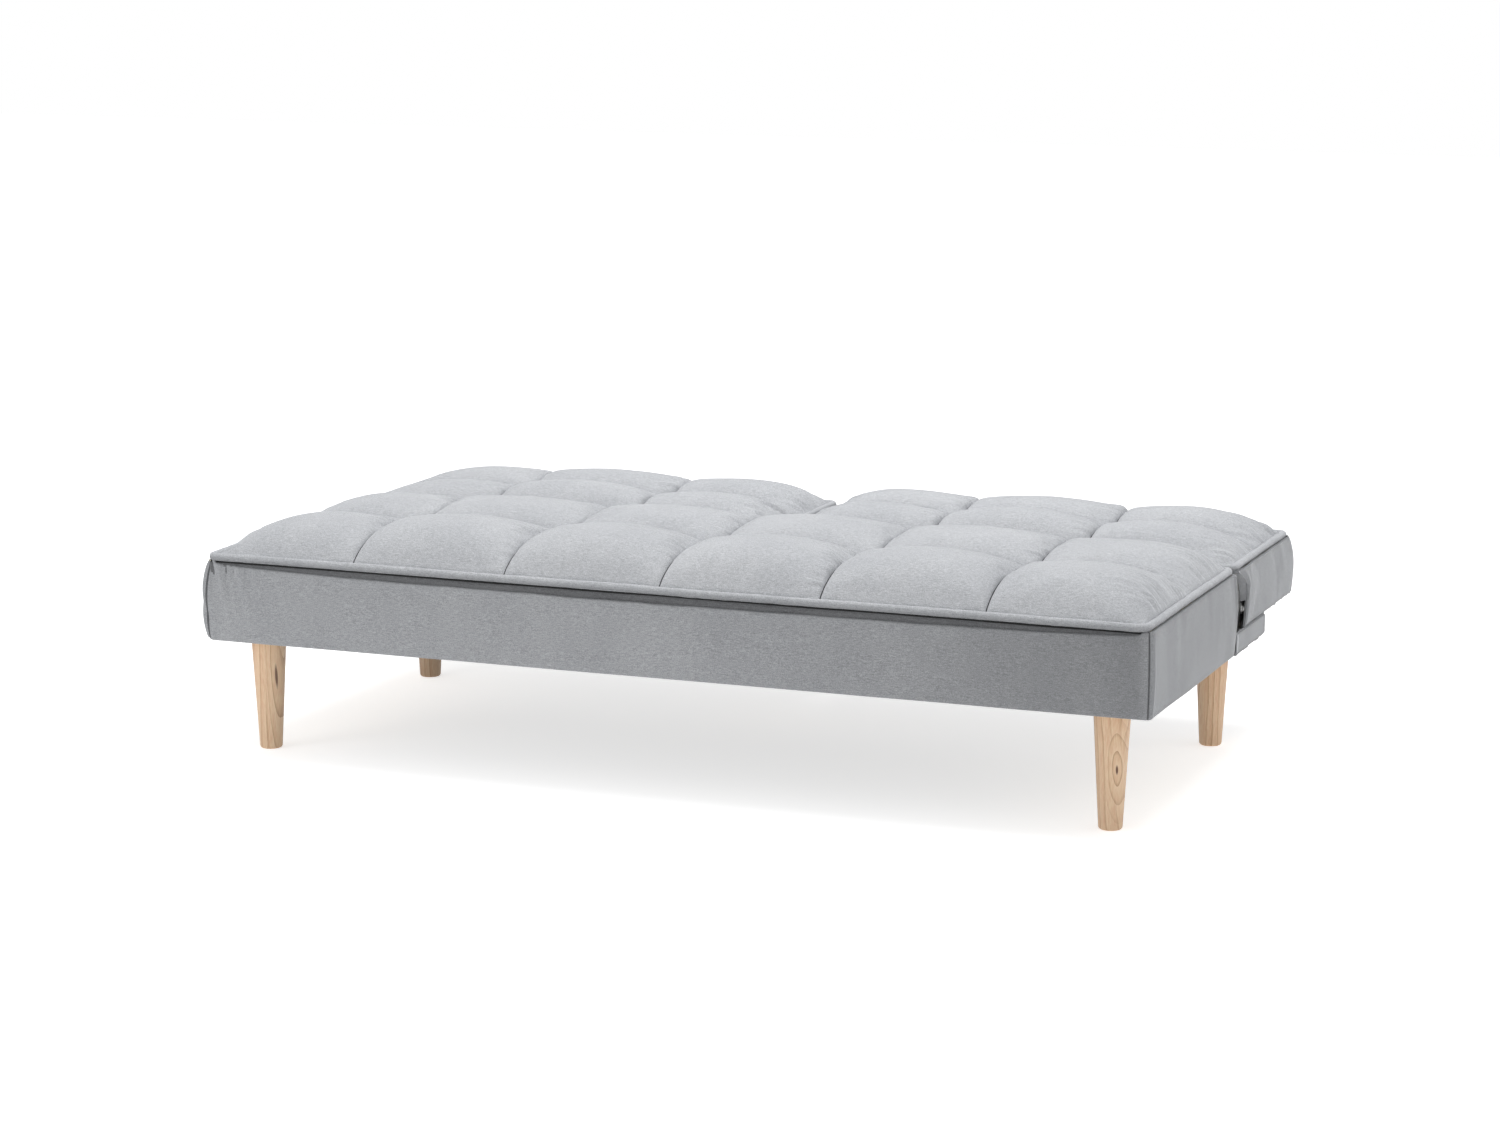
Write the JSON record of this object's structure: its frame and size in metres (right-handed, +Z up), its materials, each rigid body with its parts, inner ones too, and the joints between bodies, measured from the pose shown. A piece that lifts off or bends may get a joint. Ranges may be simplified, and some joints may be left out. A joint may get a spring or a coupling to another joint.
{
  "type": "futon sofa bed",
  "caption": "Low armless futon sofa bed with a quilted velvet seat, a backrest in two hinged halves that fold flat, piped edges and short turned wooden legs.",
  "frame": {"origin": "on the floor, under the middle of the whole piece's box with the backrest flat", "axes": "+X along the width, towards the right end seen from the front; +Y from the front edge to the backrest; +Z up"},
  "size_m": [1.8, 1.0015, 0.448],
  "materials": {
    "velvet": "pale grey plush upholstery velvet, short pile, soft sheen",
    "piping": "the same grey velvet, wrapped round a cord",
    "underlay": "dark felt strip in shadow under the front piping",
    "dust_cloth": "black non-woven dust cloth",
    "frame_wood": "sawn softwood and plywood, unfinished",
    "leg_wood": "pale turned hardwood, clear satin lacquer",
    "foam": "cut polyurethane foam",
    "webbing": "woven elastic webbing",
    "steel": "zinc-plated sheet steel"
  },
  "bodies": {
    "base": {"seat_front_rail": "frame_wood", "seat_rear_rail": "frame_wood", "seat_left_rail": "frame_wood", "seat_right_rail": "frame_wood", "seat_centre_rail": "frame_wood", "leg_bearer_left": "frame_wood", "leg_bearer_right": "frame_wood", "ledge_left_rail": "frame_wood", "ledge_right_rail": "frame_wood", "ledge_rear_rail": "frame_wood", "ledge_centre_rail": "frame_wood", "seat_webbing": "webbing", "seat_foam": "foam", "seat_cushion": "velvet", "seat_piping": "piping", "seat_front_panel": "velvet", "seat_left_panel": "velvet", "seat_right_panel": "velvet", "seat_rear_panel": "velvet", "seat_front_underlay": "underlay", "seat_dust_cloth": "dust_cloth", "ledge_cover": "velvet", "leg_front_left": "leg_wood", "leg_plate_front_left": "steel", "leg_front_right": "leg_wood", "leg_plate_front_right": "steel", "leg_rear_left": "leg_wood", "leg_plate_rear_left": "steel", "leg_rear_right": "leg_wood", "leg_plate_rear_right": "steel", "hinge_plate_left_outer": "steel", "hinge_plate_left_inner": "steel", "hinge_plate_right_outer": "steel", "hinge_plate_right_inner": "steel"},
    "back_left": {"hinge_arm_left_outer": "steel", "hinge_arm_left_inner": "steel", "back_left_front_rail": "frame_wood", "back_left_rear_rail": "frame_wood", "back_left_outer_rail": "frame_wood", "back_left_inner_rail": "frame_wood", "back_left_webbing": "webbing", "back_left_foam": "foam", "back_left_cushion": "velvet", "back_left_piping": "piping", "back_left_rear_panel": "velvet", "back_left_outer_panel": "velvet", "back_left_under_cloth": "dust_cloth"},
    "back_right": {"hinge_arm_right_outer": "steel", "hinge_arm_right_inner": "steel", "back_right_front_rail": "frame_wood", "back_right_rear_rail": "frame_wood", "back_right_outer_rail": "frame_wood", "back_right_inner_rail": "frame_wood", "back_right_webbing": "webbing", "back_right_foam": "foam", "back_right_cushion": "velvet", "back_right_piping": "piping", "back_right_rear_panel": "velvet", "back_right_outer_panel": "velvet", "back_right_under_cloth": "dust_cloth"}
  },
  "joints": [
    {"name": "back_left_fold", "type": "hinge", "parent": "base", "child": "back_left", "pos_m": [-0.45, 0.14025, 0.345], "axis": [1, 0, 0], "range_deg": [0, 75]},
    {"name": "back_right_fold", "type": "hinge", "parent": "base", "child": "back_right", "pos_m": [0.45, 0.14025, 0.345], "axis": [1, 0, 0], "range_deg": [0, 75]}
  ]
}
